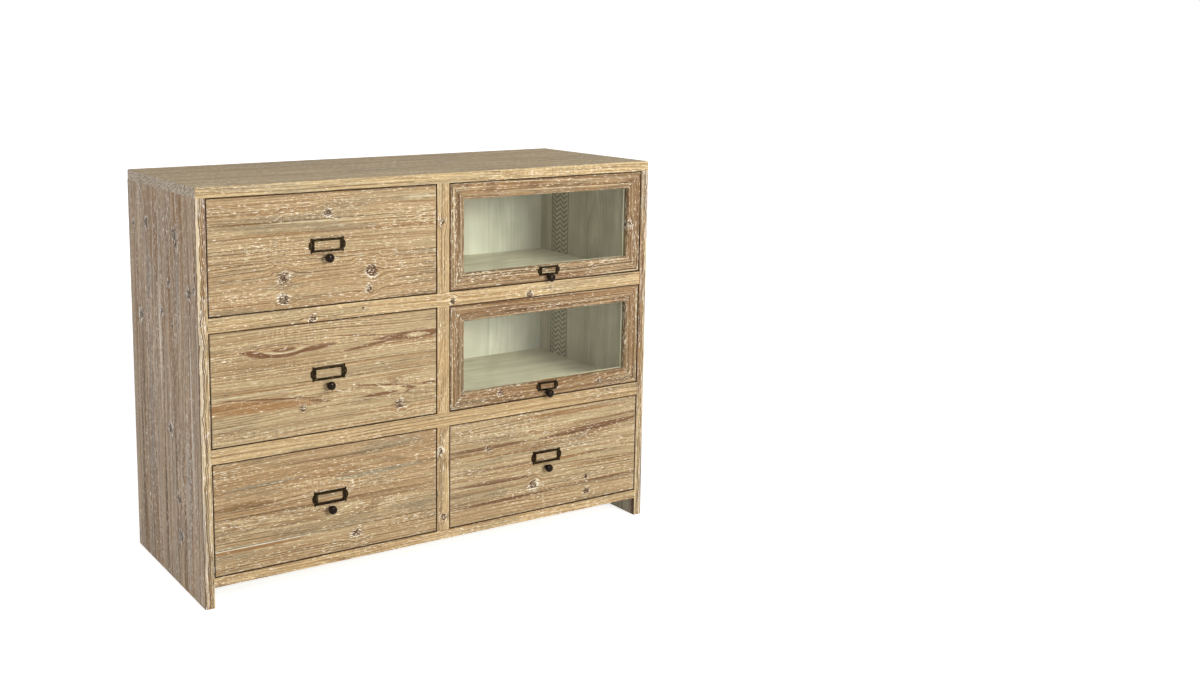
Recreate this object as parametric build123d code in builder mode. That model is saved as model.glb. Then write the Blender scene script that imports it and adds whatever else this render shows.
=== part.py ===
from build123d import *
import os

os.makedirs("parts", exist_ok=True)

# An apothecary chest in old pine: six equal openings in two columns and three rows.
# Four openings hold drawers and two hold glazed flaps that lift from the bottom.
# All sizes are millimetres. +X is the viewer's right, -Y the front and +Z up.
# The origin is under the middle of the chest, on the floor.

# Whole chest
chest_width = 1100
chest_depth = 420
chest_height = 850
row_count = 3

# Boards of the carcass
side_thickness = 20
top_thickness = 22
top_edge_radius = 3.5
top_corner_radius = 3
worn_edge_radius = 1.5
partition_thickness = 20
shelf_thickness = 18
base_thickness = 12
back_thickness = 12
back_inset = 4
back_rebate = 10
housing_depth = 5

# Rails and stiles of the front frame
foot_height = 43
bottom_rail_height = 20
rail_height = 30
frame_depth = 20
stile_width = 30
tenon_length = 9
tenon_shoulder = 5

# Dowels and screws that hold the top and the back
dowel_radius = 4
dowel_length = 28
dowel_count = 4
dowel_end_distance = 40
back_screw_radius = 1.75
back_screw_length = 30
back_screw_head_radius = 3.5
back_screw_head_height = 2

# Fronts, inset in their openings
front_gap = 2.2
front_thickness = 20
front_edge_radius = 1.5

# Drawer box, with lapped dovetails at the front
drawer_rear_gap = 24
drawer_side_thickness = 12
drawer_side_height = 200
drawer_back_thickness = 12
drawer_back_setback = 14
drawer_back_drop = 6
drawer_back_housing = 4
drawer_bottom_thickness = 6
drawer_bottom_rise = 10
drawer_groove_depth = 6
tail_count = 3
tail_length = 12
tail_root_width = 28
tail_slope = 1 / 6

# Runners, guides and stops inside the carcass
runner_gap = 0.3
runner_width = 30
runner_height = 20
guide_height = 12
stop_width = 13
stop_depth = 8
drawer_stop_height = 8
door_stop_height = 25

# Glazed flap: a mitred frame that hangs on two pivot pins near its top edge
door_thickness = 20
door_member_width = 35.5
door_edge_radius = 2.5
sight_bevel = 2
glass_setback = 12
glass_thickness = 3
glass_play = 0.3
glass_rebate = 6
bead_joint = 0.1
pivot_setback = 5
pivot_drop = 5
pivot_radius = 2
pivot_seat = 14
pivot_reach = 12
pivot_clearance = 0.05
pivot_end_space = 1

# Knob, the same on drawers and flaps
knob_reach = 19
knob_head_radius = 9.1
knob_head_height = 14
knob_neck_radius = 3
knob_foot_radius = 5
knob_foot_height = 1.5
screw_radius = 2
screw_bite = 9
screw_head_radius = 4
screw_head_height = 2.5
fixing_clearance = 0.05

# Card holders: the wide one on drawers and the small one on flaps
holder_plate = 1.6
holder_bar_height = 3.2
holder_bevel = 0.8
card_slot = 1
card_overlap = 2
wide_holder = {"width": 74, "height": 27.8, "window": (58.4, 17.8), "ear": 4, "finial": 1.7}
small_holder = {"width": 51, "height": 20, "window": (38.4, 11.6), "ear": 4.2, "finial": 0.8}
lobe_share = 0.3
pin_radius = 0.8
pin_length = 12
pin_head_radius = 1.7
pin_head_height = 1
pin_edge_gap = 1

# Places of the hardware, from the middle of a drawer or the bottom edge of a flap
drawer_holder_rise = 7.8
drawer_knob_drop = 17.8
door_knob_rise = 7.6
door_holder_rise = 23.4

# Sizes that follow from the ones above
front_y = knob_reach - (chest_depth + knob_reach) / 2
back_y = front_y + chest_depth
inside_y = front_y + frame_depth
back_face_y = back_y - back_inset - back_thickness
drawer_length = back_face_y - front_y - drawer_rear_gap
inner_width = chest_width - 2 * side_thickness
side_height = chest_height - top_thickness
opening_width = (inner_width - stile_width) / 2
row_height = (side_height - foot_height - bottom_rail_height) / row_count
row_height -= rail_height * (row_count - 1) / row_count
column_x = (opening_width + stile_width) / 2
front_width = opening_width - 2 * front_gap
front_height = row_height - 2 * front_gap
base_top = foot_height + base_thickness
row_floors = [
    foot_height + bottom_rail_height + row * (row_height + rail_height)
    for row in range(row_count)
]


def save(piece, label):
    """Label a finished piece and write it to its own file."""
    piece.part.label = label
    export_step(piece.part, f"parts/{label}.step")


def block(x, y, z, mode=Mode.ADD):
    """A squared block between two x, two y and two z positions."""
    with Locations((sum(x) / 2, sum(y) / 2, sum(z) / 2)):
        Box(abs(x[1] - x[0]), abs(y[1] - y[0]), abs(z[1] - z[0]), mode=mode)


def front_plane(x, z, setback=0):
    """A plane that faces the viewer, with its own y pointing up."""
    return Plane(origin=(x, front_y + setback, z), x_dir=(1, 0, 0), z_dir=(0, -1, 0))


def rod(plane, radius, length, mode=Mode.ADD):
    """A round rod or hole that runs from a plane against its normal."""
    with BuildSketch(plane) as section:
        Circle(radius)
    extrude(section.sketch, amount=-length, mode=mode)


def stile_mortise(z_start, z_end):
    """The pocket for the tenon on the end of a centre stile."""
    half = stile_width / 2 - tenon_shoulder
    depth = (front_y + tenon_shoulder, inside_y - tenon_shoulder)
    block((-half, half), depth, (z_start, z_end), Mode.SUBTRACT)


# Rails, each with a tenon at both ends and mortises for the stiles

def rail(z, height, stile_above=True, stile_below=True):
    """A rail across the whole front, between the side panels."""
    with BuildPart() as piece:
        block((-inner_width / 2, inner_width / 2), (front_y, inside_y), (z, z + height))
        block(
            (-inner_width / 2 - tenon_length, inner_width / 2 + tenon_length),
            (front_y + tenon_shoulder, inside_y - tenon_shoulder),
            (z + tenon_shoulder, z + height - tenon_shoulder),
        )
        if stile_above:
            stile_mortise(z + height - tenon_length, z + height)
        if stile_below:
            stile_mortise(z, z + tenon_length)
    return piece


bottom_rail = rail(foot_height, bottom_rail_height, stile_below=False)
save(bottom_rail, "bottom_rail")
rail_seats = [(foot_height, bottom_rail_height)]

with BuildPart() as cross_rails:
    for floor in row_floors[1:]:
        add(rail(floor - rail_height, rail_height).part)
        rail_seats.append((floor - rail_height, rail_height))
save(cross_rails, "cross_rails")


# Centre stiles, one short piece in each row

with BuildPart() as centre_stiles:
    for floor in row_floors:
        half = stile_width / 2
        block((-half, half), (front_y, inside_y), (floor, floor + row_height))
        block(
            (tenon_shoulder - half, half - tenon_shoulder),
            (front_y + tenon_shoulder, inside_y - tenon_shoulder),
            (floor - tenon_length, floor + row_height + tenon_length),
        )
    for floor in row_floors[1:]:
        pivot_z = floor + row_height - front_gap - pivot_drop
        seat = Plane(
            origin=(half, front_y + pivot_setback, pivot_z), z_dir=(1, 0, 0)
        )
        rod(seat, pivot_radius, pivot_seat, Mode.SUBTRACT)
save(centre_stiles, "centre_stiles")


# Side panels, rebated for the back and housed for the rails, base and shelves

dowel_span = chest_depth - 2 * dowel_end_distance
dowel_places = [
    front_y + dowel_end_distance + step * dowel_span / (dowel_count - 1)
    for step in range(dowel_count)
]
screw_places = [floor + row_height / 2 for floor in row_floors]


def side_panel(hand):
    """One side of the chest; hand is -1 for the left and 1 for the right."""
    outer = hand * chest_width / 2
    inner = hand * inner_width / 2
    rebate = inner + hand * back_rebate
    with BuildPart() as panel:
        with BuildSketch():
            with BuildLine():
                Polyline(
                    (outer, front_y), (inner, front_y), (inner, back_face_y),
                    (rebate, back_face_y), (rebate, back_y), (outer, back_y),
                    close=True,
                )
            make_face()
        extrude(amount=side_height)
        front_edges = panel.edges().filter_by(Axis.Z).group_by(Axis.Y)[0]
        fillet(front_edges.sort_by(Axis.X)[0 if hand < 0 else -1], worn_edge_radius)
        for z, height in rail_seats:
            block(
                (inner, inner + hand * tenon_length),
                (front_y + tenon_shoulder, inside_y - tenon_shoulder),
                (z + tenon_shoulder, z + height - tenon_shoulder),
                Mode.SUBTRACT,
            )
        housing = (inner, inner + hand * housing_depth)
        block(housing, (inside_y, back_face_y), (foot_height, base_top), Mode.SUBTRACT)
        for y in dowel_places:
            top_end = Plane.XY.offset(side_height).move(
                Location(((inner + outer) / 2, y, 0))
            )
            rod(top_end, dowel_radius + fixing_clearance, dowel_length / 2, Mode.SUBTRACT)
        for z in screw_places:
            seat = Plane(
                origin=((inner + rebate) / 2, back_face_y, z), z_dir=(0, 1, 0)
            )
            reach = back_screw_length - back_thickness
            rod(seat, back_screw_radius + fixing_clearance, reach, Mode.SUBTRACT)
        if hand > 0:
            for floor in row_floors[1:]:
                shelf = (floor - shelf_thickness, floor)
                block(housing, (inside_y, back_face_y), shelf, Mode.SUBTRACT)
                pivot_z = floor + row_height - front_gap - pivot_drop
                seat = Plane(
                    origin=(inner, front_y + pivot_setback, pivot_z), z_dir=(-1, 0, 0)
                )
                rod(seat, pivot_radius, pivot_seat, Mode.SUBTRACT)
    return panel


save(side_panel(-1), "left_side_panel")
save(side_panel(1), "right_side_panel")


# Top board, worn round on its upper edges

with BuildPart() as top_board:
    with BuildSketch(Plane.XY.offset(side_height)):
        with Locations((0, (front_y + back_y) / 2)):
            Rectangle(chest_width, chest_depth)
    extrude(amount=top_thickness)
    fillet(top_board.edges().filter_by(Axis.Z), top_corner_radius)
    fillet(top_board.faces().sort_by(Axis.Z)[-1].edges(), top_edge_radius)
    stile_mortise(side_height, side_height + tenon_length)
    for hand in (-1, 1):
        for y in dowel_places:
            x = hand * (inner_width + side_thickness) / 2
            hole_end = Plane.XY.offset(side_height + dowel_length / 2).move(
                Location((x, y, 0))
            )
            rod(hole_end, dowel_radius + fixing_clearance, dowel_length / 2, Mode.SUBTRACT)
save(top_board, "top_board")

with BuildPart() as top_dowels:
    for hand in (-1, 1):
        for y in dowel_places:
            x = hand * (inner_width + side_thickness) / 2
            dowel_end = Plane.XY.offset(side_height + dowel_length / 2).move(
                Location((x, y, 0))
            )
            rod(dowel_end, dowel_radius, dowel_length)
save(top_dowels, "top_dowels")


# Base board, centre partition, shelves and back

with BuildPart() as base_board:
    reach = inner_width / 2 + housing_depth
    block((-reach, reach), (inside_y, back_face_y), (foot_height, base_top))
save(base_board, "base_board")

half_partition = partition_thickness / 2
with BuildPart() as centre_partition:
    block((-half_partition, half_partition), (inside_y, back_face_y), (base_top, side_height))
    for floor in row_floors[1:]:
        housing = (half_partition - housing_depth, half_partition)
        shelf = (floor - shelf_thickness, floor)
        block(housing, (inside_y, back_face_y), shelf, Mode.SUBTRACT)
    for z in screw_places:
        seat = Plane(origin=(0, back_face_y, z), z_dir=(0, 1, 0))
        reach = back_screw_length - back_thickness
        rod(seat, back_screw_radius + fixing_clearance, reach, Mode.SUBTRACT)
save(centre_partition, "centre_partition")

with BuildPart() as shelves:
    for floor in row_floors[1:]:
        block(
            (half_partition - housing_depth, inner_width / 2 + housing_depth),
            (inside_y, back_face_y),
            (floor - shelf_thickness, floor),
        )
save(shelves, "shelves")

screw_columns = [hand * (inner_width + back_rebate) / 2 for hand in (-1, 1)] + [0]

with BuildPart() as back_panel:
    reach = inner_width / 2 + back_rebate
    block((-reach, reach), (back_face_y, back_face_y + back_thickness), (foot_height, side_height))
    for x in screw_columns:
        for z in screw_places:
            mouth = Plane(origin=(x, back_face_y + back_thickness, z), z_dir=(0, 1, 0))
            rod(mouth, back_screw_radius + fixing_clearance, back_thickness, Mode.SUBTRACT)
save(back_panel, "back_panel")

with BuildPart() as back_screws:
    for x in screw_columns:
        for z in screw_places:
            mouth = Plane(origin=(x, back_face_y + back_thickness, z), z_dir=(0, 1, 0))
            rod(mouth, back_screw_radius, back_screw_length)
            crown = mouth.offset(back_screw_head_height)
            rod(crown, back_screw_head_radius, back_screw_head_height)
save(back_screws, "back_screws")


# Runners that carry the drawers, with a guide lip where the partition stands back

def column_walls(column):
    """Each wall of a column: its own face, the edge of the opening and the way in."""
    panel = column * inner_width / 2
    return [(panel, panel, -column), (column * half_partition, column * stile_width / 2, column)]


drawer_cells = [
    ("lower_left_drawer", -1, 0),
    ("middle_drawer", -1, 1),
    ("upper_drawer", -1, 2),
    ("lower_right_drawer", 1, 0),
]
door_cells = [("middle_door", 1, 1), ("upper_door", 1, 2)]

with BuildPart() as drawer_runners:
    for name, column, row in drawer_cells:
        floor = row_floors[row]
        underside = max(floor - runner_height, base_top)
        for wall, edge, inward in column_walls(column):
            width = (wall, edge + inward * runner_width)
            block(width, (inside_y, back_face_y), (underside, floor))
            if wall != edge:
                block((wall, edge), (inside_y, back_face_y), (underside, floor + guide_height))
save(drawer_runners, "drawer_runners")

with BuildPart() as drawer_stops:
    for name, column, row in drawer_cells:
        floor = row_floors[row]
        for wall, edge, inward in column_walls(column):
            start = edge + inward * (runner_width - stop_width)
            block(
                (start, start + inward * stop_width),
                (front_y + front_thickness, front_y + front_thickness + stop_depth),
                (floor, floor + drawer_stop_height),
            )
save(drawer_stops, "drawer_stops")

with BuildPart() as door_stops:
    for name, column, row in door_cells:
        floor = row_floors[row]
        for wall, edge, inward in column_walls(column):
            block(
                (wall, edge + inward * stop_width),
                (front_y + door_thickness, front_y + door_thickness + stop_depth),
                (floor, floor + door_stop_height),
            )
save(door_stops, "door_stops")

with BuildPart() as pivot_pins:
    for name, column, row in door_cells:
        pivot_z = row_floors[row] + row_height - front_gap - pivot_drop
        for wall, edge, inward in column_walls(column):
            tip = Plane(
                origin=(edge + inward * (front_gap + pivot_reach), front_y + pivot_setback, pivot_z),
                z_dir=(inward, 0, 0),
            )
            rod(tip, pivot_radius, pivot_reach + front_gap + pivot_seat)
save(pivot_pins, "pivot_pins")


# Card holder: a thin plate with shaped ears, a raised frame and a slot for the card

def pin_offset(size):
    """How far each pin of a card holder stands from the middle."""
    return size["width"] / 2 + size["ear"] - 2 * pin_head_radius - pin_edge_gap


def card_holder(middle, size):
    """A card holder on the plane `middle`, whose normal points at the viewer."""
    width, height = size["width"], size["height"]
    window_width, window_height = size["window"]
    half = width / 2
    lobe = height * lobe_share
    with BuildPart() as holder:
        with BuildSketch(middle):
            Rectangle(width, height)
            with Locations((-half, 0), (half, 0)):
                Ellipse(size["ear"], lobe)
            with GridLocations(width - 2 * size["finial"], height, 2, 2):
                Circle(size["finial"])
        extrude(amount=holder_plate)
        with BuildSketch(middle.offset(holder_plate)):
            Rectangle((width + window_width) / 2, height)
        extrude(amount=holder_bar_height - holder_plate)
        raised = holder.faces().sort_by(Axis.Y)[0]
        chamfer(raised.edges(), holder_bevel)
        with BuildSketch(middle):
            Rectangle(window_width, window_height)
        extrude(amount=holder_bar_height, mode=Mode.SUBTRACT)
        with BuildSketch(middle):
            Rectangle(window_width + 2 * card_overlap, window_height + 2 * card_overlap)
        extrude(amount=card_slot, mode=Mode.SUBTRACT)
        for side in (-1, 1):
            hole = middle.offset(holder_plate).shift_origin(
                middle.from_local_coords((side * pin_offset(size), 0, holder_plate))
            )
            rod(hole, pin_radius + fixing_clearance, holder_plate, Mode.SUBTRACT)
    return holder


def holder_pins(middle, size):
    """The two round-headed pins of a card holder, added to the open part."""
    for side in (-1, 1):
        seat = middle.shift_origin(middle.from_local_coords((side * pin_offset(size), 0, 0)))
        neck = seat.offset(holder_plate)
        rod(neck, pin_radius, holder_plate + pin_length)
        rod(neck.offset(pin_head_height), pin_head_radius, pin_head_height)


def holder_pin_holes(middle, size):
    """The pilot holes for the pins, cut from the open part."""
    for side in (-1, 1):
        seat = middle.shift_origin(middle.from_local_coords((side * pin_offset(size), 0, 0)))
        rod(seat, pin_radius + fixing_clearance, pin_length, Mode.SUBTRACT)


# Knob: a turned foot and neck under a flattened ball

def knob(x, z):
    """A knob that stands on the front at x, z, bored from behind for its screw."""
    foot_edge = (knob_foot_radius, knob_foot_height)
    neck_top = (knob_neck_radius, knob_reach - knob_head_height)
    widest = (knob_head_radius, knob_reach - knob_head_height / 2)
    crown = (0, knob_reach)
    bore = screw_radius + fixing_clearance
    with BuildPart() as piece:
        with BuildSketch(Plane(origin=(x, front_y, z), x_dir=(1, 0, 0), z_dir=(0, 0, -1))):
            with BuildLine():
                Spline(foot_edge, neck_top, tangents=[(-1, 0.4), (0, 1)])
                Spline(neck_top, widest, crown, tangents=[(1, 0.4), (-1, 0)])
                Polyline(
                    crown, (0, screw_bite), (bore, screw_bite),
                    (bore, 0), (knob_foot_radius, 0), foot_edge,
                )
            make_face()
        revolve(axis=Axis((x, front_y, z), (0, -1, 0)))
    return piece


def knob_screw(x, z, thickness):
    """The screw of a knob, through a front of this thickness, added to the open part."""
    rod(front_plane(x, z, -screw_bite), screw_radius, screw_bite + thickness)
    rod(front_plane(x, z, thickness), screw_head_radius, screw_head_height)


# Drawers

side_blank_length = drawer_length - front_thickness
tail_pitch = drawer_side_height / tail_count


def tails(corner):
    """The dovetails on the front end of a drawer side, seen from its outer face."""
    tip_width = tail_root_width + 2 * tail_length * tail_slope
    with BuildSketch(corner) as outline:
        for step in range(tail_count):
            middle = (step + 0.5) * tail_pitch
            with BuildLine():
                Polyline(
                    (0, middle - tail_root_width / 2),
                    (-tail_length, middle - tip_width / 2),
                    (-tail_length, middle + tip_width / 2),
                    (0, middle + tail_root_width / 2),
                    close=True,
                )
            make_face()
    return outline.sketch


def drawer(name, column, row):
    """All pieces of one drawer, each in its own file."""
    x = column * column_x
    floor = row_floors[row]
    middle_z = floor + row_height / 2
    box_z = floor + runner_gap
    rear_y = front_y + drawer_length
    outer_faces = [x - front_width / 2, x + front_width / 2 - drawer_side_thickness]
    inner_half = front_width / 2 - drawer_side_thickness
    bottom_z = (box_z + drawer_bottom_rise, box_z + drawer_bottom_rise + drawer_bottom_thickness)
    back_board_y = (rear_y - drawer_back_setback - drawer_back_thickness, rear_y - drawer_back_setback)
    corners = [
        Plane(origin=(face, front_y + front_thickness, box_z), x_dir=(0, 1, 0), z_dir=(1, 0, 0))
        for face in outer_faces
    ]
    holder_plane = front_plane(x, middle_z + drawer_holder_rise)
    knob_z = middle_z - drawer_knob_drop

    with BuildPart() as front:
        with BuildSketch(front_plane(x, middle_z)):
            Rectangle(front_width, front_height)
        extrude(amount=-front_thickness)
        fillet(front.faces().sort_by(Axis.Y)[0].edges(), front_edge_radius)
        for corner in corners:
            extrude(tails(corner), amount=drawer_side_thickness, mode=Mode.SUBTRACT)
        groove_half = inner_half + drawer_groove_depth
        block(
            (x - groove_half, x + groove_half),
            (front_y + front_thickness - drawer_groove_depth, front_y + front_thickness),
            bottom_z,
            Mode.SUBTRACT,
        )
        rod(front_plane(x, knob_z), screw_radius + fixing_clearance, front_thickness, Mode.SUBTRACT)
        holder_pin_holes(holder_plane, wide_holder)
    save(front, f"{name}_front")

    with BuildPart() as sides:
        for corner in corners:
            with BuildSketch(corner):
                Rectangle(side_blank_length, drawer_side_height, align=(Align.MIN, Align.MIN))
            extrude(amount=drawer_side_thickness)
            extrude(tails(corner), amount=drawer_side_thickness)
        block(
            (x - groove_half, x + groove_half),
            (front_y + front_thickness, rear_y),
            bottom_z,
            Mode.SUBTRACT,
        )
        housing_half = inner_half + drawer_back_housing
        block(
            (x - housing_half, x + housing_half),
            back_board_y,
            (bottom_z[1], box_z + drawer_side_height),
            Mode.SUBTRACT,
        )
    save(sides, f"{name}_sides")

    with BuildPart() as back:
        block(
            (x - housing_half, x + housing_half),
            back_board_y,
            (bottom_z[1], box_z + drawer_side_height - drawer_back_drop),
        )
    save(back, f"{name}_back")

    with BuildPart() as bottom:
        block(
            (x - groove_half, x + groove_half),
            (front_y + front_thickness - drawer_groove_depth, rear_y),
            bottom_z,
        )
    save(bottom, f"{name}_bottom")

    save(card_holder(holder_plane, wide_holder), f"{name}_card_holder")
    save(knob(x, knob_z), f"{name}_knob")

    with BuildPart() as fixings:
        knob_screw(x, knob_z, front_thickness)
        holder_pins(holder_plane, wide_holder)
    save(fixings, f"{name}_fixings")


for cell in drawer_cells:
    drawer(*cell)


# Glazed flaps

def frame_member(edge, length):
    """A mitred member; `edge` has its x along the outer edge and its y to the glass."""
    sight = door_member_width
    with BuildPart() as member:
        with BuildSketch(edge):
            with BuildLine():
                Polyline(
                    (-length / 2, 0), (length / 2, 0),
                    (length / 2 - sight, sight), (sight - length / 2, sight),
                    close=True,
                )
            make_face()
        extrude(amount=-door_thickness)
        arrises = member.faces().sort_by(Axis.Y)[0].edges().sort_by(SortBy.LENGTH)
        outer_arris, sight_arris = arrises[-1], arrises[-2]
        fillet(outer_arris, door_edge_radius)
        chamfer(sight_arris, sight_bevel)
        with BuildSketch(edge.offset(-glass_setback)):
            with Locations((0, sight)):
                Rectangle(length, glass_rebate, align=(Align.CENTER, Align.MAX))
        extrude(amount=glass_setback - door_thickness, mode=Mode.SUBTRACT)
    return member


def door(name, column, row):
    """All pieces of one glazed flap, each in its own file."""
    x = column * column_x
    bottom_z = row_floors[row] + front_gap
    top_z = bottom_z + front_height
    middle_z = (bottom_z + top_z) / 2
    toward_viewer = (0, -1, 0)
    holder_plane = front_plane(x, bottom_z + door_holder_rise)
    knob_z = bottom_z + door_knob_rise
    back_y_of_door = front_y + door_thickness

    pivot_mouths = [
        Plane(
            origin=(x + hand * front_width / 2, front_y + pivot_setback, top_z - pivot_drop),
            z_dir=(hand, 0, 0),
        )
        for hand in (-1, 1)
    ]

    top_edge = Plane(origin=(x, front_y, top_z), x_dir=(-1, 0, 0), z_dir=toward_viewer)
    with BuildPart() as top_member:
        add(frame_member(top_edge, front_width).part)
        for mouth in pivot_mouths:
            rod(mouth, pivot_radius + pivot_clearance, pivot_reach + pivot_end_space, Mode.SUBTRACT)
    save(top_member, f"{name}_top_rail")

    bottom_edge = Plane(origin=(x, front_y, bottom_z), x_dir=(1, 0, 0), z_dir=toward_viewer)
    with BuildPart() as bottom_member:
        add(frame_member(bottom_edge, front_width).part)
        rod(front_plane(x, knob_z), screw_radius + fixing_clearance, door_thickness, Mode.SUBTRACT)
        holder_pin_holes(holder_plane, small_holder)
    save(bottom_member, f"{name}_bottom_rail")

    with BuildPart() as stiles:
        for hand in (-1, 1):
            edge_x = x + hand * front_width / 2
            side_edge = Plane(origin=(edge_x, front_y, middle_z), x_dir=(0, 0, hand), z_dir=toward_viewer)
            add(frame_member(side_edge, front_height).part)
        for mouth in pivot_mouths:
            rod(mouth, pivot_radius + pivot_clearance, pivot_reach + pivot_end_space, Mode.SUBTRACT)
    save(stiles, f"{name}_stiles")

    pane_width = front_width - 2 * (door_member_width - glass_rebate)
    pane_height = front_height - 2 * (door_member_width - glass_rebate)
    with BuildPart() as glass:
        with BuildSketch(front_plane(x, middle_z, glass_setback)):
            Rectangle(pane_width - 2 * glass_play, pane_height - 2 * glass_play)
        extrude(amount=-glass_thickness)
    save(glass, f"{name}_glass")

    bead_y = (front_y + glass_setback + glass_thickness, back_y_of_door)
    with BuildPart() as beads:
        for hand in (-1, 1):
            z_edge = middle_z + hand * pane_height / 2
            block((x - pane_width / 2, x + pane_width / 2), bead_y, (z_edge, z_edge - hand * glass_rebate))
            x_edge = x + hand * pane_width / 2
            upright = pane_height / 2 - glass_rebate - bead_joint
            block((x_edge, x_edge - hand * glass_rebate), bead_y, (middle_z - upright, middle_z + upright))
    save(beads, f"{name}_beads")

    save(card_holder(holder_plane, small_holder), f"{name}_card_holder")
    save(knob(x, knob_z), f"{name}_knob")

    with BuildPart() as fixings:
        knob_screw(x, knob_z, door_thickness)
        holder_pins(holder_plane, small_holder)
    save(fixings, f"{name}_fixings")


for cell in door_cells:
    door(*cell)
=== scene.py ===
import math

import bpy
from mathutils import Euler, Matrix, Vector


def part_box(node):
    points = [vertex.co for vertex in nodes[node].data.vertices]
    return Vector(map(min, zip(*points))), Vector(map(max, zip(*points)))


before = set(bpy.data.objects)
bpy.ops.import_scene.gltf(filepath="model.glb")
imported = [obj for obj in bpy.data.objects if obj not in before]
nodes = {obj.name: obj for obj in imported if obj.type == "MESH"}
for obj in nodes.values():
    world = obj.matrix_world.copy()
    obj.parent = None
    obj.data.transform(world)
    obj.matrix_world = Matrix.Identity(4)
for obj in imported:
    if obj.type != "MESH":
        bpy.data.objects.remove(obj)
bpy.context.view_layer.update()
print("loaded the packed chest:", len(nodes), "pieces")


# Helpers for the materials

def linear(hexColour):
    # an sRGB hex colour as Blender's linear RGBA
    channels = [int(hexColour[i:i + 2], 16) / 255 for i in (1, 3, 5)]
    return [c / 12.92 if c <= 0.04045 else ((c + 0.055) / 1.055) ** 2.4 for c in channels] + [1.0]


def addNode(tree, kind, inputs=(), operation=None, stops=None, **settings):
    # adds one shader node; an input can be a value, a hex colour, a socket, or a node, which gives
    # its first output
    made = tree.nodes.new("ShaderNode" + kind)
    if operation:
        made.operation = operation
    for name, value in settings.items():
        setattr(made, name, value)
    if stops:
        ramp = made.color_ramp.elements
        while len(ramp) < len(stops):
            ramp.new(0.5)
        for element, (position, shade) in zip(ramp, stops):
            element.position = position
            element.color = linear(shade) if isinstance(shade, str) else [shade] * 3 + [1.0]
    pairs = inputs.items() if isinstance(inputs, dict) else enumerate(inputs)
    for name, value in pairs:
        if isinstance(value, str):
            value = linear(value)
        if isinstance(value, bpy.types.Node):
            value = value.outputs[0]
        if isinstance(value, bpy.types.NodeSocket):
            tree.links.new(value, made.inputs[name])
        elif value is not None:
            made.inputs[name].default_value = value
    return made


def newMaterial(name):
    material = bpy.data.materials.new(name)
    material.use_nodes = True
    material.node_tree.nodes.clear()
    return material, material.node_tree


def dress(pieceName, material):
    # puts a finish into every slot of a CAD piece
    slots = nodes[pieceName].material_slots
    for slot in slots:
        slot.material = material
    if not slots:
        nodes[pieceName].data.materials.append(material)


millimetres = 1000


def span(nodeName, axis):
    # the extent of a piece along one axis, in mm
    low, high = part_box(nodeName)
    return (low[axis] * millimetres, high[axis] * millimetres)


# Camera: the photograph's view, looking down a little more, so that other views stay framed

cameraSizes = {
    "place": (-1.4294, -2.6312, 1.1350),
    "yawDegrees": 30.16,
    "pitchDegrees": 8.69,
    "imageWidth": 1200,
    "imageHeight": 675,
    "focalPixels": 1343.7,
    "centrePixel": (436.5, 241.5),
    "sensorWidth": 36.0,
}

scene = bpy.context.scene
cameraData = bpy.data.cameras.new("camera")
cameraData.sensor_width = cameraSizes["sensorWidth"]
cameraData.lens = cameraSizes["focalPixels"] / cameraSizes["imageWidth"] * cameraSizes["sensorWidth"]
centreX, centreY = cameraSizes["centrePixel"]
cameraData.shift_x = (cameraSizes["imageWidth"] / 2 - centreX) / cameraSizes["imageWidth"]
cameraData.shift_y = (centreY - cameraSizes["imageHeight"] / 2) / cameraSizes["imageWidth"]
camera = bpy.data.objects.new("camera", cameraData)
camera.location = cameraSizes["place"]
camera.rotation_euler = Euler((
    math.radians(90 - cameraSizes["pitchDegrees"]), 0, math.radians(-cameraSizes["yawDegrees"])))
scene.collection.objects.link(camera)
scene.camera = camera
print("camera placed")


# Studio: four soft boxes, an even white surround and a pale floor, in metres and watts

studio = {
    "key": {"place": (1.4, -3.6, 2.6), "size": (0.8, 0.7), "watts": 42},
    "front": {"place": (0.9, -4.1, 1.65), "size": (1.4, 0.7), "watts": 98},
    "fill": {"place": (-3.6, -0.6, 1.9), "size": (2.4, 2.4), "watts": 46},
    "top": {"place": (0.2, -0.4, 3.3), "size": (2.6, 1.8), "watts": 22},
    "aim": (0, 0, 0.42),
    "surround": 0.24,
    "floorSize": 30,
    "floorGlow": 0.68,
    "glowFrom": 1.2,
    "glowTo": 3.0,
    "floorShades": ("#e9e8e6", "#f1f0ee"),
    "floorGrit": 0.0025,
}

for lampName in ("key", "front", "fill", "top"):
    lamp = studio[lampName]
    lampData = bpy.data.lights.new(lampName, "AREA")
    lampData.shape = "RECTANGLE"
    lampData.size, lampData.size_y = lamp["size"]
    lampData.energy = lamp["watts"]
    lampObject = bpy.data.objects.new(lampName, lampData)
    lampObject.location = lamp["place"]
    aim = Vector(studio["aim"]) - Vector(lamp["place"])
    lampObject.rotation_euler = aim.to_track_quat("-Z", "Y").to_euler()
    lampObject.visible_transmission = False
    scene.collection.objects.link(lampObject)

scene.view_settings.view_transform = "Standard"


def seenByCamera(tree):
    # 1 for what the camera sees, straight on, mirrored or through glass; 0 for light on the chest
    rays = addNode(tree, "LightPath").outputs
    seen = addNode(tree, "Math", (rays["Is Camera Ray"], rays["Is Glossy Ray"]), "MAXIMUM")
    return addNode(tree, "Math", (seen, rays["Is Transmission Ray"]), "MAXIMUM")


world = bpy.data.worlds.new("surround")
world.use_nodes = True
scene.world = world
world.node_tree.nodes.clear()
level = addNode(world.node_tree, "MapRange", (seenByCamera(world.node_tree), 0, 1, studio["surround"], 1))
surround = addNode(world.node_tree, "Background", {"Color": (1, 1, 1, 1), "Strength": level})
addNode(world.node_tree, "OutputWorld", {"Surface": surround})

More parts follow.
